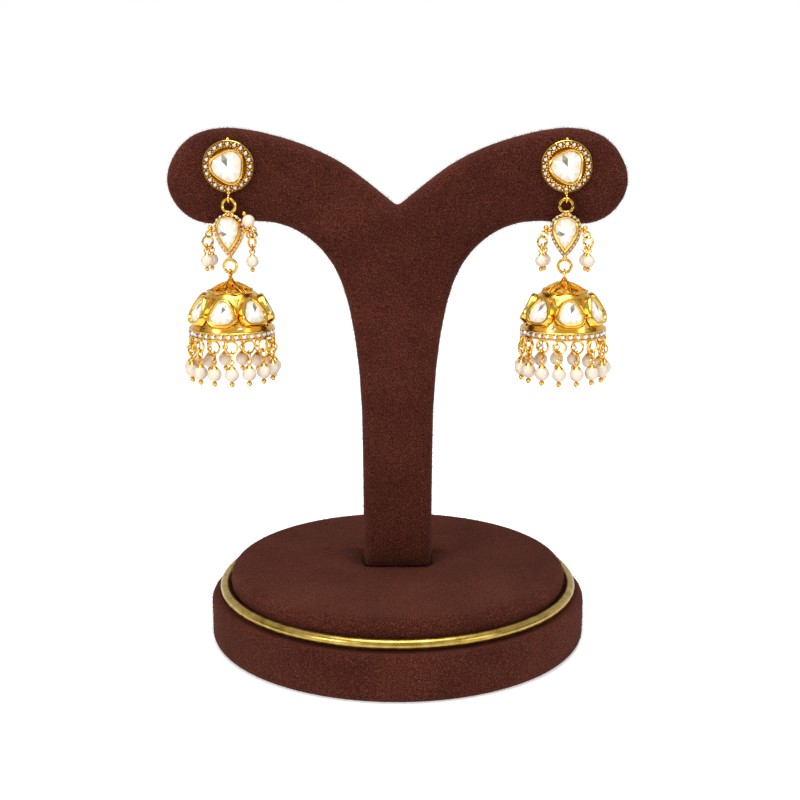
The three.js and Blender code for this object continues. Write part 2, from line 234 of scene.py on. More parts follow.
def fibre_thread():
    """Single fibres that stand out of the nap, paler than it because light passes through them."""
    made, tree, shader, place = material("loose_velvet_fibre")
    patch = add(tree, "ShaderNodeTexNoise", {"Vector": place, "Scale": per_mm(3.0)})
    tone = ramp(add(tree, "ShaderNodeValToRGB", {"Fac": patch.outputs[0]}),
                [(0.35, "#3A1A12"), (0.7, "#764536")])
    tree.links.new(tone, shader.inputs["Base Color"])
    shader.inputs["Roughness"].default_value = 0.9
    return made


def studio_floor():
    """White paper that glows a little, to stay white all round with a faint contact shadow."""
    made, tree, shader, place = material("pale_studio_floor")
    seen = add(tree, "ShaderNodeLightPath")
    glow = add(tree, "ShaderNodeMapRange", {
        "Value": seen.outputs["Is Camera Ray"], "To Min": 0.12, "To Max": 0.5})
    tree.links.new(glow.outputs[0], shader.inputs["Emission Strength"])
    shader.inputs["Emission Color"].default_value = linear("#FFFFFF")
    grain = add(tree, "ShaderNodeTexNoise", {"Vector": place, "Scale": 30.0})
    tone = ramp(add(tree, "ShaderNodeValToRGB", {"Fac": grain.outputs[0]}),
                [(0.3, "#F7F7F7"), (0.7, "#FAFAFA")])
    tree.links.new(tone, shader.inputs["Base Color"])
    shader.inputs["Roughness"].default_value = 0.8
    return made


GOLD = gold_plate()
BRASS = satin_brass()
STONE = kundan_stone()
ZIRCON = zircon()
PEARL = pearl_lustre()
VELVET = velvet()
FIBRE = fibre_thread()


# ---------- shapes, as (vertices in millimetres, faces) ----------

def merged(*parts):
    vertices, faces, start = [], [], 0
    for points, loops in parts:
        vertices.append(points)
        faces += [[i + start for i in loop] for loop in loops]
        start += len(points)
    return np.vstack(vertices), faces


def moved(part, matrix):
    points, faces = part
    return (np.c_[points, np.ones(len(points))] @ np.array(matrix).T)[:, :3], faces


def at(x, y, z):
    return Matrix.Translation((x, y, z))


def turn(degrees, axis):
    return Matrix.Rotation(math.radians(degrees), 4, axis)


UPRIGHT = turn(90, "X")  # stands a drawing in XY up, so that its thickness comes forward
EDGE_ON = turn(90, "Z") @ UPRIGHT


def circle(radius, steps=24):
    angles = np.arange(steps) * math.tau / steps
    return np.c_[radius * np.cos(angles), radius * np.sin(angles)]


def soft_triangle(width, height, point_at, steps=36):
    """A triangle with bowed sides and soft corners, one of them pointing along point_at."""
    angles = np.arange(steps) * math.tau / steps
    reach = 1 + 0.095 * np.cos(3 * (angles - math.radians(point_at)))
    return np.c_[width / 2 * reach * np.cos(angles), height / 2 * reach * np.sin(angles)]


def pear(width, top, bottom, steps=40):
    """A pear outline with its point down."""
    t = np.arange(steps) * math.tau / steps
    x = width / 2 * np.sin(t) * np.abs(np.sin(t / 2)) / 0.77
    return np.c_[x, (top + bottom) / 2 - (top - bottom) / 2 * np.cos(t)]


def outward(outline):
    """Unit vectors in the plane that point out of a counter-clockwise outline."""
    along = np.roll(outline, -1, axis=0) - np.roll(outline, 1, axis=0)
    across = np.c_[along[:, 1], -along[:, 0]]
    return across / np.linalg.norm(across, axis=1)[:, None]


def grid_faces(rows, columns, close_rows=True):
    """Quads between neighbouring rows, each row a closed loop."""
    last = rows if close_rows else rows - 1
    return [[i * columns + j, (i + 1) % rows * columns + j, (i + 1) % rows * columns + (j + 1) % columns,
             i * columns + (j + 1) % columns] for i in range(last) for j in range(columns)]


def sweep(outline, section):
    """A closed section, as (outwards, up) points, carried round a closed outline."""
    section = np.array(section)
    flat = outline[:, None, :] + outward(outline)[:, None, :] * section[None, :, :1]
    up = np.broadcast_to(section[None, :, 1:], (len(outline), len(section), 1))
    return np.concatenate([flat, up], axis=2).reshape(-1, 3), grid_faces(len(outline), len(section))


def ring(radius, wire, steps=28, sides=10):
    return sweep(circle(radius, steps), circle(wire, sides))


def lathe(profile, segments=32):
    """A (radius, height) profile turned about Z; it starts and ends on the axis or closes on itself."""
    radii, heights = np.array(profile, float).T
    angles = np.arange(segments) * math.tau / segments
    points = np.stack([np.outer(np.cos(angles), radii), np.outer(np.sin(angles), radii),
                       np.broadcast_to(heights, (segments, len(radii)))], axis=2).reshape(-1, 3)
    faces = grid_faces(segments, len(radii))
    on_axis = radii[0] == 0 and radii[-1] == 0
    return points, [f for f in faces if not (on_axis and f[0] % len(radii) == len(radii) - 1)]


def ball(radius, x=0.0, y=0.0, z=0.0, segments=14):
    angles = np.linspace(-math.pi / 2, math.pi / 2, segments // 2 + 2)
    profile = np.c_[radius * np.cos(angles), radius * np.sin(angles)]
    profile[[0, -1], 0] = 0
    return moved(lathe(profile, segments), at(x, y, z))


def stacked(outline, layers):
    """An outline repeated at (offset outwards, height) layers, with flat ends."""
    out = outward(outline)
    rows = [np.c_[outline + out * offset, np.full(len(outline), height)] for offset, height in layers]
    count, last = len(outline), (len(layers) - 1) * len(outline)
    ends = [list(range(count))[::-1], list(range(last, last + count))]
    return np.vstack(rows), grid_faces(len(layers), count, close_rows=False) + ends


def wire(points, radius, sides=8):
    """A round wire along open points, with flat ends."""
    points = [Vector(p) for p in points]
    rows = []
    for i, point in enumerate(points):
        along = points[min(i + 1, len(points) - 1)] - points[max(i - 1, 0)]
        frame_of = along.to_track_quat("Z", "Y").to_matrix()
        rows += [point + frame_of @ Vector((x, y, 0)) for x, y in circle(radius, sides)]
    count, last = sides, (len(points) - 1) * sides
    ends = [list(range(count))[::-1], list(range(last, last + count))]
    return np.array(rows), grid_faces(len(points), sides, close_rows=False) + ends


def setting(outline, wall, back, front):
    """A stone's collar: a rounded lip over the stone's edge, on a wall that flares at its foot."""
    section = [(0.12, back), (0.0, (back + front) / 2), (-0.1 * wall, front - 0.28),
               (-0.28 * wall, front - 0.06), (-0.5 * wall, front), (-0.76 * wall, front - 0.08),
               (-wall, front - 0.4), (-wall, back)]
    return sweep(outline, section)


def rose_cut(outline, back, girdle, crown, grey):
    """A rose-cut stone and the painted reflection tone of each facet; the numbered facet is painted dark.

    The outline has an even number of points.
    """
    draw = random.Random(grey)
    centre = outline.mean(axis=0)
    count = len(outline)
    middle = centre + (outline[::2] - centre) * 0.55
    rows = [np.c_[outline, np.full(count, back)], np.c_[outline, np.full(count, girdle)],
            np.c_[middle, np.full(count // 2, girdle + 0.72 * (crown - girdle))], [[*centre, crown]]]
    # Painted reflections for each facet: the back and the edge mid to dark, the crown's lower facets mid,
    # its upper facets bright and the numbered one dark.
    faces, painted_reflections = [list(range(count))[::-1]], [0.5]
    for i in range(count):
        faces.append([i, (i + 1) % count, count + (i + 1) % count, count + i])
        painted_reflections.append(0.3)
    peak = 2 * count + count // 2
    for k in range(count // 2):
        a, b, c = count + 2 * k, count + 2 * k + 1, count + (2 * k + 2) % count
        here, following = 2 * count + k, 2 * count + (k + 1) % (count // 2)
        faces += [[a, b, here], [b, c, following], [here, b, following], [here, following, peak]]
        painted_reflections += [draw.uniform(0.35, 0.6), draw.uniform(0.45, 0.7)]
        painted_reflections.append(0.08 if k == grey else draw.uniform(0.75, 0.95))
        painted_reflections.append(0.0 if k == grey else draw.uniform(0.88, 1.0))
    return (np.vstack(rows), faces), painted_reflections


def brilliant(radius, seed):
    """A small brilliant, its table up, and the painted reflection tone of each facet."""
    draw = random.Random(seed)
    layers = [(0, -0.3 * radius), (0, 0.1 * radius), (-0.42 * radius, 0.55 * radius)]
    part = stacked(circle(radius, 8), layers)
    # Painted reflections: each facet gets a random tone from dark to bright.
    return part, [draw.choice((0.05, 0.5, 0.8, 1.0, 1.0)) for _ in part[1]]


# ---------- pieces ----------

def new_mesh(name, part, finish=None, smooth=35.0):
    """A mesh object in metres with its faces turned outwards and edges sharper than smooth degrees kept."""
    points, faces = part
    data = bpy.data.meshes.new(name)
    data.from_pydata((points * MM).tolist(), [], faces)
    work = bmesh.new()
    work.from_mesh(data)
    if smooth:
        bmesh.ops.remove_doubles(work, verts=work.verts, dist=0.0005 * MM)
    bmesh.ops.recalc_face_normals(work, faces=work.faces)
    work.to_mesh(data)
    work.free()
    if smooth:
        data.shade_smooth()
        data.set_sharp_from_angle(angle=math.radians(smooth))
    if finish:
        data.materials.append(finish)
    made = bpy.data.objects.new(name, data)
    bpy.context.scene.collection.objects.link(made)
    return made


def faceted(name, part_and_painted_reflections, matrix, finish=None):
    """A stone whose facets stay flat, each with its painted reflection tone."""
    part, painted_reflections = part_and_painted_reflections
    made = new_mesh(name, moved(part, matrix), finish, smooth=0)
    made.data.attributes.new("facet", "FLOAT", "FACE").data.foreach_set("value", painted_reflections)
    return made


def settle(made, body, slot, *nodes):
    """The piece rides on its body and stands for the nodes; its slot is not used."""
    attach(made, body)
    if nodes:
        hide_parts(*nodes)
    return made


def start_tree(name, inputs):
    tree = bpy.data.node_groups.new(name, "GeometryNodeTree")
    for label, kind in inputs:
        tree.interface.new_socket(label, in_out="INPUT", socket_type=kind)
    tree.interface.new_socket("Geometry", in_out="OUTPUT", socket_type="NodeSocketGeometry")
    return tree, add(tree, "NodeGroupInput").outputs


def end_tree(tree, copies, finish):
    real = add(tree, "GeometryNodeRealizeInstances", {0: copies})
    dressed = add(tree, "GeometryNodeSetMaterial", {"Geometry": real.outputs[0], "Material": finish})
    add(tree, "NodeGroupOutput", {0: dressed.outputs[0]})
    return tree


def circle_tree():
    """Copies of a piece round an upright axis, each turned to face outwards."""
    tree, given = start_tree("round_an_axis", [
        ("Piece", "NodeSocketObject"), ("Count", "NodeSocketInt"), ("Radius", "NodeSocketFloat"),
        ("Height", "NodeSocketFloat"), ("Turn", "NodeSocketFloat"), ("Finish", "NodeSocketMaterial")])
    points = add(tree, "GeometryNodePoints", {"Count": given["Count"]})
    index = add(tree, "GeometryNodeInputIndex")
    share = add(tree, "ShaderNodeMath", {0: index.outputs[0], 1: given["Count"]}, operation="DIVIDE")
    angle = add(tree, "ShaderNodeMath", {0: share.outputs[0], 1: math.tau, 2: given["Turn"]},
                operation="MULTIPLY_ADD").outputs[0]
    forward = add(tree, "ShaderNodeMath", {0: given["Radius"], 1: -1.0}, operation="MULTIPLY")
    front = add(tree, "ShaderNodeCombineXYZ", {"Y": forward.outputs[0], "Z": given["Height"]})
    place = add(tree, "ShaderNodeVectorRotate", {"Vector": front.outputs[0], "Angle": angle},
                rotation_type="Z_AXIS")
    spread = add(tree, "GeometryNodeSetPosition", {
        "Geometry": points.outputs[0], "Position": place.outputs[0]})
    facing = add(tree, "ShaderNodeCombineXYZ", {"Z": angle})
    piece = add(tree, "GeometryNodeObjectInfo", {"Object": given["Piece"]})
    copies = add(tree, "GeometryNodeInstanceOnPoints", {
        "Points": spread.outputs[0], "Instance": piece.outputs["Geometry"], "Rotation": facing.outputs[0]})
    return end_tree(tree, copies.outputs[0], given["Finish"])


def outline_tree():
    """Copies of a piece, evenly spaced along a closed outline."""
    tree, given = start_tree("along_an_outline", [
        ("Outline", "NodeSocketObject"), ("Piece", "NodeSocketObject"), ("Count", "NodeSocketInt"),
        ("Finish", "NodeSocketMaterial")])
    edge = add(tree, "GeometryNodeObjectInfo", {"Object": given["Outline"]})
    path = add(tree, "GeometryNodeMeshToCurve", {"Mesh": edge.outputs["Geometry"]})
    points = add(tree, "GeometryNodeCurveToPoints", {"Curve": path.outputs[0], "Count": given["Count"]},
                 mode="COUNT")
    piece = add(tree, "GeometryNodeObjectInfo", {"Object": given["Piece"]})
    copies = add(tree, "GeometryNodeInstanceOnPoints", {
        "Points": points.outputs[0], "Instance": piece.outputs["Geometry"]})
    return end_tree(tree, copies.outputs[0], given["Finish"])


def fibre_tree():
    """Single fibres scattered over a covered surface, each leaning its own way."""
    tree, given = start_tree("fibres_on_velvet", [
        ("Cover", "NodeSocketObject"), ("Piece", "NodeSocketObject"),
        ("Per Square Metre", "NodeSocketFloat"),
        ("Seed", "NodeSocketInt"), ("Finish", "NodeSocketMaterial")])
    cover = add(tree, "GeometryNodeObjectInfo", {"Object": given["Cover"]})
    points = add(tree, "GeometryNodeDistributePointsOnFaces", {
        "Mesh": cover.outputs["Geometry"], "Density": given["Per Square Metre"], "Seed": given["Seed"]})
    lean = add(tree, "FunctionNodeRandomValue", {
        "Min": (-0.9, -0.9, -math.pi), "Max": (0.9, 0.9, math.pi), "Seed": given["Seed"]},
        data_type="FLOAT_VECTOR")
    leaning = add(tree, "FunctionNodeRotateRotation", {
        "Rotation": points.outputs["Rotation"], "Rotate By": lean.outputs[0]}, rotation_space="LOCAL")
    size = add(tree, "FunctionNodeRandomValue", {2: 0.5, 3: 1.2, "Seed": given["Seed"]}, data_type="FLOAT")
    piece = add(tree, "GeometryNodeObjectInfo", {"Object": given["Piece"]})
    copies = add(tree, "GeometryNodeInstanceOnPoints", {
        "Points": points.outputs[0], "Instance": piece.outputs["Geometry"], "Rotation": leaning.outputs[0],
        "Scale": size.outputs[1]})
    return end_tree(tree, copies.outputs[0], given["Finish"])


def grown(name, tree, centre=None, **values):
    """The plain mesh that a tree makes with the given sizes, moved to centre in millimetres."""
    holder = bpy.data.objects.new(name, bpy.data.meshes.new(name + "_start"))
    bpy.context.scene.collection.objects.link(holder)
    modifier = holder.modifiers.new("grow", "NODES")
    modifier.node_group = tree
    sockets = {s.name: s.identifier for s in tree.interface.items_tree if s.in_out == "INPUT"}
    for label, value in values.items():
        modifier[sockets[label.replace("_", " ")]] = value
    bpy.context.view_layer.update()
    graph = bpy.context.evaluated_depsgraph_get()
    data = bpy.data.meshes.new_from_object(holder.evaluated_get(graph))
    holder.modifiers.clear()
    holder.data = data
    if centre is not None:
        data.transform(Matrix.Translation(Vector(centre) * MM))
    return holder


def forget(*helpers):
    for helper in helpers:
        bpy.data.objects.remove(helper)


def path_object(name, outline, height, matrix):
    """An outline at a height in its drawing as a closed line of edges, for the outline tree to follow."""
    points, _ = moved((np.c_[outline, np.full(len(outline), height)], []), matrix)
    data = bpy.data.meshes.new(name)
    count = len(points)
    data.from_pydata((np.array(points) * MM).tolist(), [(i, (i + 1) % count) for i in range(count)], [])
    made = bpy.data.objects.new(name, data)
    bpy.context.scene.collection.objects.link(made)
    return made


ROUND = circle_tree()
ALONG = outline_tree()
FIBRES = fibre_tree()


# ---------- stand ----------

def disc_profile(radius, bottom, top, edge):
    low = [(radius - edge + edge * math.cos(a), bottom + edge + edge * math.sin(a))
           for a in np.linspace(-math.pi / 2, 0, 9)]
    high = [(radius - edge + edge * math.cos(a), top - edge + edge * math.sin(a))
            for a in np.linspace(0, math.pi / 2, 9)]
    inner = [(radius * share, top) for share in (0.8, 0.6, 0.4, 0.2)]
    return [(0, bottom), *low, *high, *inner, (0, top)]


def apply_modifiers(made):
    graph = bpy.context.evaluated_depsgraph_get()
    data = bpy.data.meshes.new_from_object(made.evaluated_get(graph))
    made.modifiers.clear()
    made.data = data
    return made


def cut_away(made, cutter):
    modifier = made.modifiers.new("cut", "BOOLEAN")
    modifier.operation = "DIFFERENCE"
    modifier.solver = "EXACT"
    modifier.object = cutter
    apply_modifiers(made)
    forget(cutter)
    return made


def covered_disc(name, sizes):
    return new_mesh(name, lathe(disc_profile(**sizes), 160), VELVET, smooth=60)


def covered_arms():
    """The stem and arms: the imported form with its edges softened, as padding under velvet softens them."""
    made = new_mesh("velvet_arms", node_part("stand_arms"), VELVET, smooth=60)
    steps = made.modifiers.new("even", "REMESH")
    steps.mode = "VOXEL"
    steps.voxel_size = ARM_SKIN["cell"] * MM
    steps.use_smooth_shade = True
    soft = made.modifiers.new("soften", "SMOOTH")
    soft.factor = ARM_SKIN["softness"]
    soft.iterations = ARM_SKIN["passes"]
    return apply_modifiers(made)


def node_part(node):
    """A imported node's own shape in millimetres."""
    data = frame["nodes"][node].data
    points = np.array([v.co for v in data.vertices], float) / MM
    return points, [list(p.vertices) for p in data.polygons]


def fibre_template():
    """One bent, flat fibre, about half a millimetre long."""
    half = 0.026
    bend = [(0.0, -0.1), (0.08, 0.18), (0.24, 0.38)]
    points = np.array([(x, y, z) for x, z in bend for y in (-half, half)])
    made = new_mesh("fibre_template", (points, [[0, 1, 3, 2], [2, 3, 5, 4]]), FIBRE, smooth=0)
    return made


def build_stand():
    lower = covered_disc("velvet_lower_disc", LOWER_DISC)
    upper = covered_disc("velvet_upper_disc", UPPER_DISC)
    low, high = map(Vector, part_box("stand_arms"))
    half_depth = (high.y - low.y) / 2 / MM + FOOT["gap"]
    foot = soft_box(2 * FOOT["half_width"], 2 * half_depth, FOOT["height"])
    cut_away(upper, new_mesh("foot_cutter", moved(foot, at(0, 0, UPPER_DISC["top"])), smooth=0))
    arms = covered_arms()
    ring_low, ring_high = map(Vector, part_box("stand_base_ring"))
    tube = (ring_high.z - ring_low.z) / 2 / MM
    reach = (ring_high.x - ring_low.x) / 2 / MM - tube
    round_wire = moved(ring(reach, tube, 180, 20), at(0, 0, (ring_high.z + ring_low.z) / 2 / MM))
    brass = new_mesh("brass_ring", round_wire, BRASS)
    fibre = fibre_template()
    covers = ((lower, "stand_base_lower"), (upper, "stand_base_upper"), (arms, "stand_arms"))
    for seed, (cover, node) in enumerate(covers):
        loose = grown(cover.name + "_fibres", FIBRES, Cover=cover, Piece=fibre, 
                      Per_Square_Metre=FIBRES_PER_SQUARE_METRE, Seed=seed, Finish=FIBRE)
        settle(loose, "stand", "velvet")
        settle(cover, "stand", "velvet", node)
    settle(brass, "stand", "brass_ring", "stand_base_ring")
    forget(fibre)


def soft_box(width, depth, height):
    """A box with rounded upright corners."""
    corner = FOOT["corner"]
    centres = [(width / 2 - corner, depth / 2 - corner), (corner - width / 2, depth / 2 - corner),
               (corner - width / 2, corner - depth / 2), (width / 2 - corner, corner - depth / 2)]
    outline = np.array([(x + corner * math.cos(a), y + corner * math.sin(a))
                        for k, (x, y) in enumerate(centres)
                        for a in np.linspace(k * math.pi / 2, (k + 1) * math.pi / 2, 7)])
    return stacked(outline, [(0, -height / 2), (0, height / 2)])


# ---------- the earring's parts ----------

def joint(name):
    return next(j for j in frame["joints"] if j["name"] == name)


def axis_x(side):
    """Where the earring hangs, across the stand."""
    return joint(f"{side}_link_swing")["pos_m"][0] / MM


def drop_y(side):
    return joint(f"{side}_link_swing")["pos_m"][1] / MM


def link_turn(side):
    """How far the link is turned about the upright, in degrees."""
    across = joint(f"{side}_bell_swing")["axis"]
    return math.degrees(math.atan2(across[1], across[0]))


def bearing(side, node):
    """A bell piece's direction from the bell's axis, from the front towards +X, in degrees."""
    low, high = map(Vector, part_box(node))
    x = (low.x + high.x) / 2 / MM - axis_x(side)
    y = (low.y + high.y) / 2 / MM - drop_y(side)
    return math.degrees(math.atan2(x, -y))


def build_stud(side):
    body = "stand"
    place = at(axis_x(side), -STUD["back"], STUD["z"]) @ UPRIGHT
    across, wall, front = STUD_SETTING["across"], STUD_SETTING["wall"], STUD_SETTING["front"]
    outline = soft_triangle(across, across, STUD_SETTING["point_at"])
    radius, rim = HALO["radius"], HALO["front"]
    halo = lathe([(0, 0), (radius - 0.15, 0), (radius, 0.15), (radius, rim - 0.2), (radius - 0.15, rim),
                  (radius - 0.36, rim), (radius - 0.44, rim - 0.3), (4.8, rim - 0.3), (4.75, rim),
                  (4.55, rim), (4.45, rim - 0.5), (0, rim - 0.5)], 72)
    upright = [moved(halo, place), moved(setting(outline, wall, 0.7, front), place)]
    loops = [
        ball(0.45, axis_x(side), -STUD["back"] - 0.6, STUD["z"] + radius + 0.15),
        ball(0.55, axis_x(side), -STUD["back"] - 1.1, STUD["z"] - radius - 0.05),
        moved(ring(EYE["radius"], EYE["wire"]), at(axis_x(side), drop_y(side), EYE["z"]) @ EDGE_ON),
    ]
    gold = new_mesh(f"{side}_stud_gold", merged(*upright, *loops), GOLD)
    settle(gold, body, "gold", f"{side}_stud_frame")
    inner = soft_triangle(across - 2 * wall + 0.1, across - 2 * wall + 0.1, STUD_SETTING["point_at"], 16)
    cut = rose_cut(inner, 1.1, front - 0.4, front + 0.35, PAINTED_DARK_FACET["stud"])
    stone = faceted(f"{side}_stud_rose_cut", cut, place, STONE)
    settle(stone, body, "stone", f"{side}_stud_stone")
    gem = faceted("gem", brilliant(HALO["stone"], 3), UPRIGHT)
    grain = new_mesh("grain", ball(0.2, segments=8))
    spots = path_object("spots", circle(HALO["stone_ring"], 120), rim - 0.1, place)
    paving = grown(f"{side}_stud_zircons", ALONG, Outline=spots, Piece=gem, Count=HALO["stones"],
                   Finish=ZIRCON)
    settle(paving, body, "stone")
    for label, reach, count in (("prongs", 5.62, 20), ("milgrain", 4.62, 44), ("inner_prongs", 4.88, 20)):
        line = path_object("line", circle(reach, 120), rim, place @ turn(180 / HALO["stones"], "Z"))
        beads = grown(f"{side}_stud_{label}", ALONG, Outline=line, Piece=grain, Count=count, Finish=GOLD)
        settle(beads, body, "gold")
        forget(line)
    forget(gem, grain, spots)
    frame["nodes"][f"{side}_ear_post"].material_slots[0].material = GOLD


def tiny_drop(top_z):
    """A side pearl's gold: eye, cap and end ball, hanging from top_z."""
    radius, z = TINY_PEARL["radius"], TINY_PEARL["z"]
    above, below = z + radius + 0.35, z + radius - 0.25
    cap = lathe([(0, above), (0.3, above), (0.75, below), (0, below)], 14)
    return merged(moved(ring(0.62, 0.17, 18, 8), at(0, 0, z + radius + 0.85) @ UPRIGHT), cap,
                  moved(ring(0.78, 0.18, 18, 8), at(0, 0, top_z - 0.55) @ EDGE_ON),
                  ball(0.2, 0, 0, z - radius - 0.05), ball(0.55, 0, 0, z - radius - 0.5))


def side_gold(s, thrown_up):
    """The link's side s, -1 or 1: granules, a loop, a jump ring and the gold of two tiny drops."""
    parts = [ball(0.6, s * 3.75, -0.2, 103.7), ball(0.6, s * 4.65, -0.3, 104.2),
             ball(0.5, s * 4.6, -0.4, 103.3),
             moved(ring(0.78, 0.24, 18, 8), at(s * 5.0, -0.1, 102.5) @ UPRIGHT),
             moved(ring(1.3, 0.27, 24, 8), at(s * 5.45, 0.1, 100.75) @ turn(s * 55, "Z") @ EDGE_ON),
             moved(tiny_drop(100.1), at(s * 5.6, -0.5, 0))]
    if thrown_up:
        parts.append(moved(tiny_drop(100.1), THROWN))
        parts.append(moved(ring(0.8, 0.2, 18, 8), at(5.9, -0.6, 102.6) @ UPRIGHT))
    else:
        parts.append(moved(tiny_drop(100.1), at(s * 4.9, 1.6, 0)))
    return parts


# One side pearl of the left earring has flipped up and leans on the link.
THROWN = at(4.95, -0.9, 106) @ turn(150, "Y") @ at(0, 0, -TINY_PEARL["z"])


def build_link(side):
    body = f"{side}_link"
    place = at(axis_x(side), drop_y(side), 0) @ turn(link_turn(side), "Z")
    half, front = LINK_PLATE["half_depth"], LINK_SETTING["front"]
    edge = pear(LINK_PLATE["width"], LINK_PLATE["top"], LINK_PLATE["bottom"])
    collar = pear(LINK_SETTING["width"], LINK_SETTING["top"], LINK_SETTING["bottom"])
    plate = stacked(edge, [(-0.2, -half), (0, -half + 0.2), (0, half - 0.15), (-0.15, half)])
    around = ring(LINK_RING["radius"], LINK_RING["wire"])
    thrown_up = side == "left"
    parts = [moved(plate, UPRIGHT),
             moved(setting(collar, LINK_SETTING["wall"], half - 0.1, front), UPRIGHT),
             moved(around, at(0, 0, LINK_RING["top_z"]) @ UPRIGHT),
             moved(around, at(0, 0, LINK_RING["low_z"]) @ UPRIGHT),
             ball(0.5, -0.7, -0.2, LINK_PLATE["top"] - 0.15),
             ball(0.5, 0.7, -0.2, LINK_PLATE["top"] - 0.15),
             ball(0.6, 0, -0.1, LINK_PLATE["bottom"] + 0.1),
             *side_gold(-1, False), *side_gold(1, thrown_up)]
    gold = new_mesh(f"{side}_link_gold", moved(merged(*parts), place), GOLD)
    settle(gold, body, "gold", f"{side}_link_frame")
    wall = LINK_SETTING["wall"] - 0.05
    inner = pear(LINK_SETTING["width"] - 2 * wall, LINK_SETTING["top"] - wall,
                 LINK_SETTING["bottom"] + 1.6 * wall, 20)
    cut = rose_cut(inner, half + 0.1, front - 0.4, front + 0.2, PAINTED_DARK_FACET["link"])
    stone = faceted(f"{side}_link_rose_cut", cut, place @ UPRIGHT, STONE)
    settle(stone, body, "stone", f"{side}_link_stone")
    gem = faceted("gem", brilliant(LINK_STONES["size"], 3), turn(link_turn(side), "Z") @ UPRIGHT)
    middle = pear(LINK_STONES["width"], LINK_STONES["top"], LINK_STONES["bottom"], 80)
    spots = path_object("spots", middle, half + 0.02, place @ UPRIGHT)
    paving = grown(f"{side}_link_zircons", ALONG, Outline=spots, Piece=gem, Count=LINK_STONES["count"],
                   Finish=ZIRCON)
    settle(paving, body, "stone")
    whole = ball(TINY_PEARL["radius"], 0, 0, TINY_PEARL["z"], 22)
    places = [at(-5.6, -0.5, 0), at(-4.9, 1.6, 0), at(5.6, -0.5, 0)]
    places.append(THROWN if thrown_up else at(4.9, 1.6, 0))
    pearls = merged(*[moved(whole, place @ spot) for spot in places])
    settle(new_mesh(f"{side}_link_pearls", pearls, PEARL), body, "pearl")
    forget(gem, spots)


def bell_openings(first):
    """Cutters for the three-cornered openings between settings and between the cap's ribs."""
    parts = []
    for k in range(BELL["sides"]):
        spin = turn(first + (k + 0.5) * 360 / BELL["sides"], "Z")
        low = np.array([(-0.95, 0.0), (0.95, 0.0), (0.0, 1.3)])
        high = np.array([(-0.85, 0.0), (0.0, -1.6), (0.85, 0.0)])
        window = np.array([(-1.5, -4.5), (1.5, -4.5), (0.0, -2.0)])
        parts.append(moved(stacked(low, [(0, 4), (0, 12)]), spin @ at(0, 0, 81.0) @ UPRIGHT))
        parts.append(moved(stacked(high, [(0, 4), (0, 12)]), spin @ at(0, 0, 88.0) @ UPRIGHT))
        parts.append(moved(stacked(window, [(0, 88.4), (0, 92.5)]), spin))
    return merged(*parts)


def cap_ribs(first):
    """Raised ribs from the neck to the rim's corners and beside each window, and the rim itself."""
    side = 360 / BELL["sides"]
    parts = []
    for k in range(BELL["sides"]):
        corner = math.radians(first + (k + 0.5) * side)
        for spread, inner in ((0.33, 1.75), (-0.33, 1.75)):
            a = corner + spread
            start = (inner * math.sin(corner), -inner * math.cos(corner), 91.05)
            middle = (3.4 * math.sin(corner + spread * 0.85), -3.4 * math.cos(corner + spread * 0.85), 90.28)
            parts.append(wire([start, middle, (5.2 * math.sin(a), -5.2 * math.cos(a), 89.15)], 0.19))
    corners = [math.radians(first + (k + 0.5) * side) for k in range(BELL["sides"])]
    rim = np.array([(5.6 * math.sin(a), -5.6 * math.cos(a)) for a in corners])
    parts.append(moved(sweep(rim, circle(0.3, 8)), at(0, 0, 89.1)))
    return parts


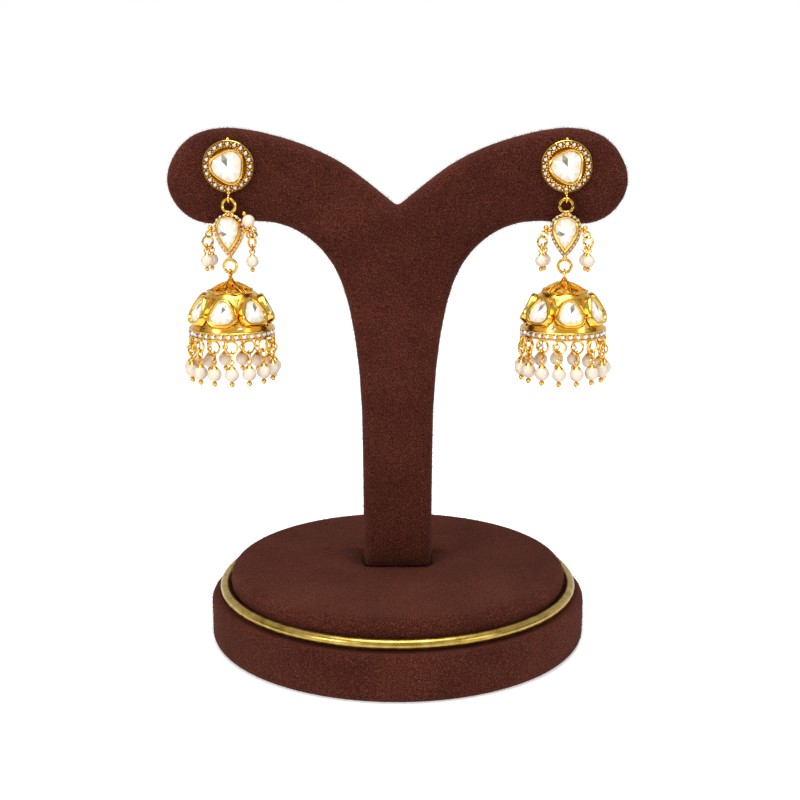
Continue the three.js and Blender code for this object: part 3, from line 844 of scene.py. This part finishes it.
def build_bell(side):
    body = f"{side}_bell"
    x, y = axis_x(side), drop_y(side)
    first, first_drop = bearing(side, f"{side}_bell_stone_1"), bearing(side, f"{side}_pearl_drop_1")
    inside = [(r - BELL_WALL_DEPTH["in"], z - BELL_WALL_DEPTH["down"]) for r, z in reversed(BELL_WALL)]
    wall = new_mesh(f"{side}_bell_wall", moved(lathe([*BELL_WALL, *inside], 112), at(x, y, 0)), GOLD)
    cut_away(wall, new_mesh("openings", moved(bell_openings(first), at(x, y, 0)), smooth=0))
    wall.data.shade_smooth()
    wall.data.set_sharp_from_angle(angle=math.radians(35))
    settle(wall, body, "gold", f"{side}_bell_dome")
    band, top, mouth = BELL["band"], BELL["top"], BELL["mouth"]
    rails = lathe([(band - 0.1, top), (band, top - 0.1), (band, top - 0.28), (band - 0.35, top - 0.34),
                   (band - 0.35, mouth + 0.34), (band, mouth + 0.28), (band, mouth + 0.1),
                   (band - 0.1, mouth), (band - 0.9, mouth), (band - 0.9, top)], 120)
    neck = lathe([(0, 92.55), (0.42, 92.4), (0.52, 92.1), (0.8, 91.9), (0.62, 91.7), (1.3, 91.35),
                  (1.75, 91.05), (1.75, 90.8), (0, 90.7)], 28)
    ring_wire_top = LINK_RING["low_z"] - LINK_RING["radius"] + LINK_RING["wire"]
    bail_z = ring_wire_top + HANGING_GAP + EYE["wire"] - EYE["radius"]
    bail = moved(ring(EYE["radius"], EYE["wire"]), at(0, 0, bail_z) @ turn(link_turn(side), "Z") @ EDGE_ON)
    top_parts = moved(merged(rails, neck, bail, *cap_ribs(first)), at(x, y, 0))
    crown = new_mesh(f"{side}_bell_cap_and_band", top_parts, GOLD)
    settle(crown, body, "gold", f"{side}_bell_dome")
    lean = turn(-BELL["lean"], "X") @ UPRIGHT
    width, height, depth, lip = (BELL_SETTING[k] for k in ("width", "height", "depth", "wall"))
    outline = soft_triangle(width, height, 90)
    cup = merged(setting(outline, lip, -depth + 0.2, BELL_SETTING["front"]),
                 stacked(outline, [(-0.3, -depth), (-0.1, -depth + 0.3)]))
    cup_piece = new_mesh("cup", moved(cup, lean))
    inner = soft_triangle(width - 2 * lip + 0.1, height - 2 * lip + 0.1, 90, 16)
    stone_piece = faceted("stone", rose_cut(inner, -depth + 0.5, -0.1, 0.4, PAINTED_DARK_FACET["bell"]), lean)
    shared = {"Count": BELL["sides"], "Radius": BELL["apothem"] * MM, "Height": BELL["face_z"] * MM,
              "Turn": math.radians(first)}
    settings = grown(f"{side}_bell_settings", ROUND, (x, y, 0), Piece=cup_piece, Finish=GOLD, **shared)
    settle(settings, body, "gold", f"{side}_bell_dome")
    stones = grown(f"{side}_bell_rose_cuts", ROUND, (x, y, 0), Piece=stone_piece, Finish=STONE, **shared)
    settle(stones, body, "stone", *[f"{side}_bell_stone_{k + 1}" for k in range(BELL["sides"])])
    gem = faceted("gem", brilliant(BAND_STONES["size"], 3), UPRIGHT)
    grain = new_mesh("grain", merged(ball(0.17, 0, 0, 0.52, 8), ball(0.17, 0, 0, -0.52, 8)))
    middle = (top + mouth) / 2 * MM
    paving = (("zircons", gem, ZIRCON, "stone", 0), ("prongs", grain, GOLD, "gold", 0.5))
    for label, piece, finish, slot, share in paving:
        band_turn = math.radians(first) + share * math.tau / BAND_STONES["count"]
        made = grown(f"{side}_band_{label}", ROUND, (x, y, 0), Piece=piece, Finish=finish,
                     Count=BAND_STONES["count"], Radius=BAND_STONES["radius"] * MM,
                     Height=middle, Turn=band_turn)
        settle(made, body, slot)
    build_drops(side, body, x, y, first_drop)
    forget(cup_piece, stone_piece, gem, grain)


def build_drops(side, body, x, y, first):
    """The fringe: soldered loops, edge-on links, capped pearls and end balls."""
    radius, z = DROPS["pearl"], DROPS["pearl_z"]
    round_loop = ring(DROPS["loop"], DROPS["loop_wire"], 26, 8)
    loop = new_mesh("loop", moved(round_loop, at(0, 0, DROPS["loop_z"]) @ UPRIGHT))
    link = moved(ring(0.78, 0.2, 20, 8), at(0, 0, 74.95) @ Matrix.Diagonal((1, 1, 1.35, 1)) @ EDGE_ON)
    eye = moved(ring(0.6, 0.19, 18, 8), at(0, 0, 73.35) @ UPRIGHT)
    cap = lathe([(0, 72.75), (0.34, 72.75), (0.34, 72.55), (0.5, 72.45), (1.0, 71.95), (0.9, 71.8),
                 (0, 71.8)], 16)
    end = merged(ball(0.24, 0, 0, z - radius), ball(0.65, 0, 0, z - radius - 0.62))
    gold = new_mesh("drop_gold", merged(link, eye, cap, end))
    pearl = new_mesh("drop_pearl", ball(radius, 0, 0, z, 26), smooth=80)
    drops = [f"{side}_pearl_drop_{k + 1}" for k in range(DROPS["count"])]
    fringe = (("loops", loop, GOLD, "gold", ()), ("drop_gold", gold, GOLD, "gold", drops),
              ("drop_pearls", pearl, PEARL, "pearl", drops))
    for label, piece, finish, slot, nodes in fringe:
        made = grown(f"{side}_{label}", ROUND, (x, y, 0), Piece=piece, Finish=finish, Count=DROPS["count"],
                     Radius=DROPS["ring"] * MM, Height=0.0, Turn=math.radians(first))
        settle(made, body, slot, *nodes)
    forget(loop, gold, pearl)


# ---------- studio ----------

def area_light(name, place, aim, size, watts, colour="#FFFFFF"):
    data = bpy.data.lights.new(name, "AREA")
    data.size = size
    data.energy = watts
    data.color = linear(colour)[:3]
    made = bpy.data.objects.new(name, data)
    bpy.context.scene.collection.objects.link(made)
    made.location = place
    made.rotation_euler = (Vector(aim) - Vector(place)).to_track_quat("-Z", "Y").to_euler()


def dark_card(name, place, aim, width, height):
    """A dark card that only polished metal sees, for contrast in its reflections."""
    made = new_mesh(name, (np.array([(-width, -height, 0), (width, -height, 0), (width, height, 0),
                                     (-width, height, 0)], float) / 2 / MM, [[0, 1, 2, 3]]), smooth=0)
    made.location = place
    made.rotation_euler = (Vector(aim) - Vector(place)).to_track_quat("-Z", "Y").to_euler()
    card, _, shader, _ = material(name)
    shader.inputs["Base Color"].default_value = linear("#2A1C10")
    shader.inputs["Roughness"].default_value = 1.0
    made.data.materials.append(card)
    for ray in ("camera", "diffuse", "shadow", "transmission", "volume_scatter"):
        setattr(made, "visible_" + ray, False)


def build_studio():
    scene = bpy.context.scene
    world = bpy.data.worlds.new("white_studio")
    scene.world = world
    world.use_nodes = True
    tree = world.node_tree
    tree.nodes.clear()
    path = add(tree, "ShaderNodeLightPath")
    level = add(tree, "ShaderNodeMapRange", {
        "Value": path.outputs["Is Camera Ray"], "To Min": 0.45, "To Max": 1.0})
    sky = add(tree, "ShaderNodeBackground", {"Color": (1, 1, 1, 1), "Strength": level.outputs[0]})
    add(tree, "ShaderNodeOutputWorld", {"Surface": sky.outputs[0]})
    rise = [(1.1 + 1.1 * math.sin(a), 1.1 - 1.1 * math.cos(a)) for a in np.linspace(0, 1.4, 15)]
    bowl = np.array([(0, -0.02), (2.4, -0.02), (2.4, 1.2), *rise[::-1], (0, 0)]) / MM
    floor = new_mesh("studio_floor", lathe(bowl, 96), studio_floor(), smooth=60)
    middle = (0, 0, 0.08)
    area_light("top_softbox", (0.0, -0.08, 0.62), middle, 0.4, 2.4)
    area_light("left_softbox", (-0.45, -0.5, 0.3), middle, 0.12, 1.1)
    area_light("right_softbox", (0.5, -0.42, 0.25), middle, 0.16, 0.45)
    dark_card("left_flag", (-0.6, -0.15, 0.1), middle, 0.5, 0.25)
    dark_card("right_flag", (0.6, -0.1, 0.1), middle, 0.5, 0.25)
    dark_card("front_flag", (0.05, -0.9, 0.0), middle, 0.9, 0.35)
    scene.view_settings.view_transform = "Standard"


def build_camera():
    data = bpy.data.cameras.new("camera")
    data.lens = CAMERA["lens"]
    data.sensor_width = CAMERA["sensor"]
    made = bpy.data.objects.new("camera", data)
    bpy.context.scene.collection.objects.link(made)
    made.location = CAMERA["place"]
    made.rotation_euler = (math.radians(90 - CAMERA["dip"]), 0, 0)
    bpy.context.scene.camera = made


build_camera()
build_studio()
build_stand()
for side_name in SIDES:
    build_stud(side_name)
    build_link(side_name)
    build_bell(side_name)

bpy.context.view_layer.update()
